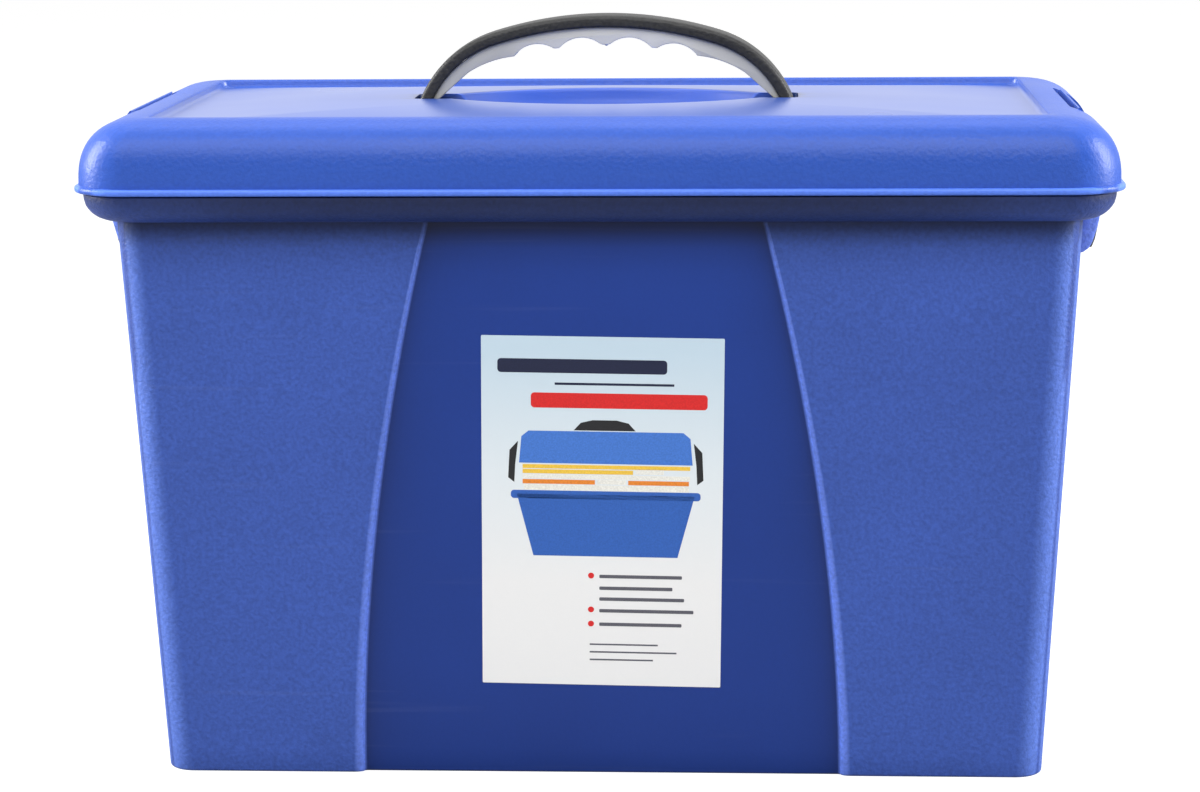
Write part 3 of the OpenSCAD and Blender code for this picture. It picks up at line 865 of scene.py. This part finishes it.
arch = ringStack(bandProfile(), archStations(), bandPlace)
endBoxes(arch, archSize["footX"], archSize["footHalf"], archSize["footZ"], archSize["footRound"])
newPiece("handleArch", arch, blackPlastic, "handle", ["handle_arch"], sharp=40)


def gripUnderZ(x):
    # height of the grip's under side over the middle stretch, with its scallops
    s = gripSize
    low = archSize["bigRadius"] - s["deep"]
    z = archSize["bigZ"] + math.sqrt(low * low - x * x) if abs(x) < low else 0
    for angle in s["scallopAngles"]:
        ax = s["scallopAt"] * math.sin(math.radians(angle))
        az = archSize["bigZ"] + s["scallopAt"] * math.cos(math.radians(angle))
        if abs(x - ax) < s["scallop"]:
            z = max(z, az + math.sqrt(s["scallop"] ** 2 - (x - ax) ** 2))
    return z


def gripOutline():
    # along the arch's inner face from the right leg to the left, and back along the scalloped edge
    s, around = gripSize, archSize
    t = around["thick"] + s["gap"]
    join = 90 - around["halfAngle"]
    r = around["kneeRadius"] - t
    foot = math.degrees(math.asin((s["footZ"] - around["kneeZ"]) / r))
    outer = arcPoints(around["kneeX"], around["kneeZ"], r, foot, join, 14)
    outer += arcPoints(0, around["bigZ"], around["bigRadius"] - t, join, 180 - join, 24, False)
    outer += arcPoints(-around["kneeX"], around["kneeZ"], r, 180 - join, 180 - foot, 14, False)
    kx, kz, kr = s["innerKnee"]
    knee = [(math.sqrt(kr * kr - (s["footZ"] - kz) ** 2) + kx, s["footZ"])]
    knee += [p for p in arcPoints(kx, kz, kr, 0, 90, 199) if p[1] > s["footZ"]]
    inner = [(x, z) for x, z in knee if x > kx + 5 and z > gripUnderZ(x)]
    start, steps = inner[-1][0], 70
    for i in range(1, steps + 1):
        x = start * (1 - i / steps)
        kneeZ = kz + math.sqrt(max(0, kr * kr - (x - kx) ** 2)) if x > kx else 0
        inner.append((x, max(gripUnderZ(x), kneeZ)))
    thin = [inner[0]]
    for p in inner[1:]:
        if math.hypot(p[0] - thin[-1][0], p[1] - thin[-1][1]) > 0.75:
            thin.append(p)
    thin[-1] = (0, thin[-1][1])
    mirrored = [(-x, z) for x, z in thin[-2::-1]]
    return outer + (thin + mirrored)[::-1]


# painted light in the middle, where the arch's band shades the grip, and painted shade towards the legs
def gripTone(x, y, z):  # darker towards the legs
    return [fade(x, *gripSize["shade"])] * 3, 1


def makeGrip():
    s = gripSize
    bm = bmesh.new()
    sweepPolygon(bm, gripOutline(), -s["half"], s["half"])
    bmesh.ops.remove_doubles(bm, verts=bm.verts, dist=1e-6)
    rims = [e for e in sharpEdges(bm, 60) if abs(e.verts[0].co.y - e.verts[1].co.y) < 1e-6]
    roundEdges(bm, rims, s["round"], 3)  # past 0.4 mm it would fold the thin legs' faces over
    nub = bmesh.new()
    bmesh.ops.create_uvsphere(nub, u_segments=12, v_segments=8, radius=s["nub"] * mm)
    bmesh.ops.translate(nub, verts=nub.verts, vec=(0, 0, s["nubZ"] * mm))
    addTo(bm, nub)
    paintTones(bm, gripTone)
    return bm


newPiece("handleGrip", makeGrip(), greyPlastic, "handle", ["handle_grip"], sharp=40)

latchSize = {
    "half": 45.5, "round": 0.55, "barrel": 3.4, "barrelRound": 0.3,
    "face": [(208.2, 274.3), (209.5, 273), (210.3, 271.9), (211, 270.8), (212.1, 268.4), (213, 266),
             (213.7, 263), (214.2, 260), (214.5, 257.5), (214.7, 255), (214.7, 252), (214.1, 247),
             (213.3, 242.5), (212.4, 238), (211.3, 232), (210.1, 226), (208.7, 222.4)],
    "hook": [(206.8, 222.4), (207.7, 228), (209.5, 237.2), (207.5, 238.4), (206.3, 239.4),
             (206.3, 240.6), (209.8, 240.6)],
    "back": [(211.7, 252), (211.7, 255.5), (211.2, 260.5), (209.9, 265.3), (205.5, 265.6), (204.5, 269.6)],
    "ribs": (227.6, 230.6, 233.6), "ribHalf": 30, "ribRadius": 0.9, "ribShare": 0.8, "ribSunk": 0.1,
}


def latchFaceX(z):
    face = latchSize["face"]
    for (x0, z0), (x1, z1) in zip(face, face[1:]):
        if z1 <= z <= z0:
            return mix(x0, x1, (z0 - z) / (z0 - z1))
    return face[-1][0]


def makeLatch(mirrored):
    s = latchSize
    bm = bmesh.new()
    sweepPolygon(bm, s["face"] + s["hook"] + s["back"], -s["half"], s["half"], bevel=s["round"], limit=30,
                 mirrored=mirrored)
    barrel = arcPoints(*housing["axis"], s["barrel"], 0, 348, 29)
    sweepPolygon(bm, barrel, -s["half"], s["half"], bevel=s["barrelRound"], limit=60, mirrored=mirrored)
    turn = -1 if mirrored else 1
    for z in s["ribs"]:  # a rib is a small ball drawn out along the latch
        rib = bmesh.new()
        bmesh.ops.create_uvsphere(rib, u_segments=12, v_segments=8, radius=s["ribRadius"] * mm)
        for vert in rib.verts:
            x, y, up = vert.co
            long = up + math.copysign(s["ribHalf"] * mm, up) if abs(up) > 1e-7 else 0
            vert.co = Vector((x * s["ribShare"], long, y))
        place = (turn * (latchFaceX(z) - s["ribSunk"]) * mm, 0, z * mm)
        bmesh.ops.translate(rib, verts=rib.verts, vec=place)
        bmesh.ops.recalc_face_normals(rib, faces=rib.faces)
        addTo(bm, rib)
    return bm


for name, mirrored in (("latch_right", False), ("latch_left", True)):
    newPiece(name + "_looks", makeLatch(mirrored), latchPlastic, name, [name], sharp=35)
for name in ("hinge_pin_left", "hinge_pin_right"):
    mesh = nodes[name].data
    mesh.materials.clear()
    mesh.materials.append(steelWire)

labelSize = {
    "wide": 101.6, "tall": 152.4, "middle": (1.5, 115.9), "turn": -0.9, "slope": 0.05892, "faceY": 84.6,
    "gap": 0.02, "thick": 0.2, "corner": 0.5, "inkDeep": 0.05, "inkLift": 0.03,
}
paperLooks = {
    "foot": (0.3, (0.79, 0.786, 0.781)), "middle": (0.62, (0.688, 0.742, 0.774)),
    "head": (0.96, (0.507, 0.631, 0.724)), "fibreColour": (0.6, 0.66, 0.7), "fibreShare": 0.05,
    "fibre": 900, "cloud": 40, "rough": (0.38, 0.5), "specular": 0.3, "bump": 0.15, "depth": 0.00004,
}
inkLooks = {"dots": 1500, "shades": (0.9, 1.12), "rough": (0.36, 0.48), "specular": 0.3}


def labelPlace(u, v, out):
    # u, v in mm from the label's middle, out in front of its face
    s = labelSize
    a = math.radians(s["turn"])
    x = u * math.cos(a) - v * math.sin(a)
    up = u * math.sin(a) + v * math.cos(a)
    tilt = math.atan(s["slope"])
    z0 = s["middle"][1]
    y0 = -(s["faceY"] + s["slope"] * z0)
    y = y0 - up * math.sin(tilt) - out * math.cos(tilt)
    z = z0 + up * math.cos(tilt) - out * math.sin(tilt)
    return Vector((s["middle"][0] + x, y, z)) * mm


def labelPaper():
    look = paperLooks
    material, tree, shader, where = newMaterial("labelCoatedPaper")
    uv = newNode(tree, "UVMap")
    uv.uv_map = "sheet"
    parts = newNode(tree, "SeparateXYZ", Vector=uv.outputs[0])
    fadeUp = newNode(tree, "ValToRGB", Fac=parts.outputs[1])
    stops = fadeUp.color_ramp.elements
    stops.new(look["middle"][0])
    for stop, key in zip(stops, ("foot", "middle", "head")):
        stop.position, stop.color = look[key][0], (*look[key][1], 1)
    fibre = noiseNode(tree, where, look["fibre"], 3)
    share = rangeNode(tree, fibre, 0.3, 0.7, 0.0, look["fibreShare"])
    colour = mixColour(tree, share, fadeUp.outputs[0], look["fibreColour"])
    rough = rangeNode(tree, noiseNode(tree, where, look["cloud"]), 0.3, 0.7, *look["rough"])
    feed(tree, shader, Base_Color=colour, Roughness=rough, Specular_IOR_Level=look["specular"])
    addBump(tree, shader, fibre, look["bump"], look["depth"])
    return material


def printInk(name, colour):
    look = inkLooks
    material, tree, shader, where = newMaterial(name)
    dots = noiseNode(tree, where, look["dots"])
    dark, pale = (tone(colour, share) for share in look["shades"])
    ink = mixColour(tree, rangeNode(tree, dots, 0.3, 0.7, 0, 1), dark, pale)
    rough = rangeNode(tree, dots, 0.3, 0.7, *look["rough"])
    feed(tree, shader, Base_Color=ink, Roughness=rough, Specular_IOR_Level=look["specular"])
    return material


def makeLabel():
    s = labelSize
    bm = bmesh.new()
    bmesh.ops.create_grid(bm, x_segments=12, y_segments=18, size=0.5)
    for vert in bm.verts:
        vert.co = Vector((vert.co.x * s["wide"], vert.co.y * s["tall"], 0))
    corners = [v for v in bm.verts if len(v.link_edges) == 2]
    bmesh.ops.bevel(bm, geom=corners, offset=s["corner"], segments=4, profile=0.5, affect="VERTICES",
                    material=-1)
    layer = bm.loops.layers.uv.new("sheet")
    for face in bm.faces:
        for loop in face.loops:
            loop[layer].uv = (loop.vert.co.x / s["wide"] + 0.5, loop.vert.co.y / s["tall"] + 0.5)
    top = set(drawOut(bm, list(bm.faces), keep=True))
    for vert in bm.verts:
        vert.co = labelPlace(vert.co.x, vert.co.y, s["thick"] if vert in top else s["gap"])
    bmesh.ops.recalc_face_normals(bm, faces=bm.faces)
    return bm


def addInk(bm, outline):
    # a flat printed shape, a hair in front of the sheet
    s = labelSize
    part = bmesh.new()
    face = part.faces.new([part.verts.new(labelPlace(u, v, s["thick"] - s["inkDeep"])) for u, v in outline])
    moved = set(drawOut(part, [face]))
    for vert, (u, v) in zip([x for x in part.verts if x in moved], outline):
        vert.co = labelPlace(u, v, s["thick"] + s["inkLift"])
    bmesh.ops.recalc_face_normals(part, faces=part.faces)
    addTo(bm, part)


def bar(u0, v0, u1, v1, r=0.0):
    if not r:
        return [(u0, v0), (u1, v0), (u1, v1), (u0, v1)]
    points = []
    for cu, cv, start in ((u1 - r, v1 - r, 0), (u0 + r, v1 - r, 90), (u0 + r, v0 + r, 180),
                          (u1 - r, v0 + r, 270)):
        points += arcPoints(cu, cv, r, start, start + 90, 4)
    return points


def textLines(left, half, lines, r=0.0):  # thin bars that stand for lines of text: right end, height
    return [bar(left, v - half, right, v + half, r) for right, v in lines]


labelInks = {  # colour and shapes, in mm from the label's middle
    "inkNavy": ((0.012, 0.016, 0.045), [bar(-44, 60.5, 27, 66.5, 1.5), bar(-20, 55.4, 30, 56.4)]),
    "inkRed": ((0.62, 0.02, 0.02), [bar(-30, 45.5, 44, 52.0, 1.5)]
               + [arcPoints(-4.5, v, 1.3, 0, 342, 19) for v in (-27.5, -42.5, -48.8)]),
    "inkGrey": ((0.1, 0.1, 0.12),
                textLines(-1, 0.75, ((34, -27.8), (30, -33.0), (35, -37.8), (39, -43.0), (34, -49.0)), 0.4)
                + textLines(-5, 0.35, ((24, -58.0), (32, -61.4), (22, -64.8)))),
    "inkBlue": ((0.03, 0.11, 0.42), [[(-36, 8), (39, 8), (32, -19), (-29, -19)],
                                       bar(-38.5, 6, 41.5, 9.6, 1.4)]),
    "inkSky": ((0.055, 0.17, 0.55), [[(-35, 21.5), (38, 21.5), (37, 33), (34, 35.5), (-31, 35.5),
                                      (-34, 33)]]),
    "inkCream": ((0.75, 0.74, 0.68), [bar(-33, 9.8, 36.5, 12.2), bar(-33.5, 14.8, 37, 16.6),
                                      bar(-2, 12.6, 10, 14.6), bar(14, 17.2, 26, 19.4)]),
    "inkOrange": ((0.72, 0.22, 0.03), [bar(-33.5, 12.5, -3, 14.4), bar(11, 12.5, 36.5, 14.4)]),
    "inkYellow": ((0.78, 0.5, 0.06), [bar(-33.5, 17.0, 13, 18.8), bar(-33.5, 19.2, 37, 20.9)]),
    "inkDark": ((0.018, 0.018, 0.02), [
        [(-12, 35.9), (14, 35.9), (11, 39.2), (6, 40.4), (-4, 40.4), (-9, 39.2)],
        [(38.4, 31), (42, 27), (42.6, 15), (40, 13), (39.6, 21)],
        [(-35.4, 31), (-39, 27), (-39.6, 15), (-37, 13), (-36.6, 21)]]),
}
newPiece("labelSheet", makeLabel(), labelPaper(), "tub", ["label"], sharp=30)
for name, (colour, shapes) in labelInks.items():
    bm = bmesh.new()
    for outline in shapes:
        addInk(bm, outline)
    newPiece("label_" + name, bm, printInk(name, colour), "tub")

studio = {
    "floorHalf": 8.0, "floorShade": 0.34, "floorGlow": 0.83, "skyLevel": 0.45,
    "lamps": {  # place, aim, size in metres, watts
        "frontLamp": ((-0.3, -1.9, 2.3), (0, 0, 0.15), (3.8, 1.8), 90),
        "topLamp": ((0, 0.45, 1.75), (0, 0, 0.25), (1.7, 1.0), 10),
        "rightLamp": ((1.45, 0.02, 0.72), (0, 0, 0.2), (0.5, 0.95), 34),
        "leftLamp": ((-1.45, 0.02, 0.72), (0, 0, 0.2), (0.5, 0.95), 34),
    },
}
photoShot = {
    "place": (0.077592, -1.405988, 0.409002), "yaw": 3.33, "pitch": -10.451, "roll": -0.506,
    "lens": 95.95, "sensor": 36, "nearest": 0.05,
}


def lightPathSum(tree, names):
    rays = newNode(tree, "LightPath").outputs
    total = rays[names[0]]
    for name in names[1:]:
        total = mathNode(tree, "MAXIMUM", total, rays[name])
    return total


def makeFloor():
    bm = bmesh.new()
    bmesh.ops.create_grid(bm, x_segments=4, y_segments=4, size=studio["floorHalf"])
    floor = putIn("studioFloor", meshFrom("studioFloor", bm))
    material = bpy.data.materials.new("studioPaper")
    tree = emptyTree(material)
    matte = newNode(tree, "BsdfDiffuse", Color=(*[studio["floorShade"]] * 3, 1))
    glow = newNode(tree, "Emission")  # seen by the camera alone, so it lights nothing
    seen = lightPathSum(tree, ["Is Camera Ray"])
    feed(tree, glow, Strength=mathNode(tree, "MULTIPLY", seen, studio["floorGlow"]))
    both = newNode(tree, "AddShader")
    for shader, socket in zip((matte, glow), both.inputs):
        tree.links.new(shader.outputs[0], socket)
    newNode(tree, "OutputMaterial", Surface=both.outputs[0])
    floor.data.materials.append(material)


def makeWorld():
    world = bpy.data.worlds.new("studioWorld")
    bpy.context.scene.world = world
    tree = emptyTree(world)
    seen = lightPathSum(tree, ["Is Camera Ray", "Is Glossy Ray", "Is Transmission Ray"])
    level = rangeNode(tree, seen, 0, 1, studio["skyLevel"], 1)
    sky = newNode(tree, "Background", Color=(1, 1, 1, 1), Strength=level)
    newNode(tree, "OutputWorld", Surface=sky.outputs[0])


def areaLight(name, place, aim, size, watts):
    light = bpy.data.lights.new(name, "AREA")
    light.shape = "RECTANGLE"
    light.size, light.size_y = size
    light.energy = watts
    lamp = putIn(name, light)
    away = Vector(place) - Vector(aim)
    lamp.matrix_world = Matrix.Translation(place) @ away.to_track_quat("Z", "Y").to_matrix().to_4x4()


def makeCamera():
    shot = photoShot
    yaw, pitch, roll = (math.radians(shot[k]) for k in ("yaw", "pitch", "roll"))
    forward = Vector((-math.sin(yaw) * math.cos(pitch), math.cos(yaw) * math.cos(pitch), math.sin(pitch)))
    right = forward.cross(Vector((0, 0, 1))).normalized()
    up = right.cross(forward)
    across = right * math.cos(roll) + up * math.sin(roll)
    over = up * math.cos(roll) - right * math.sin(roll)
    turn = Matrix((across, over, -forward)).transposed().to_4x4()
    data = bpy.data.cameras.new("photoCamera")
    data.lens, data.sensor_width, data.clip_start = shot["lens"], shot["sensor"], shot["nearest"]
    camera = putIn("photoCamera", data)
    camera.matrix_world = Matrix.Translation(shot["place"]) @ turn
    bpy.context.scene.camera = camera


makeFloor()
makeWorld()
for name, lamp in studio["lamps"].items():
    areaLight(name, *lamp)
makeCamera()
bpy.context.scene.view_settings.view_transform = "Standard"
print("stage ready")
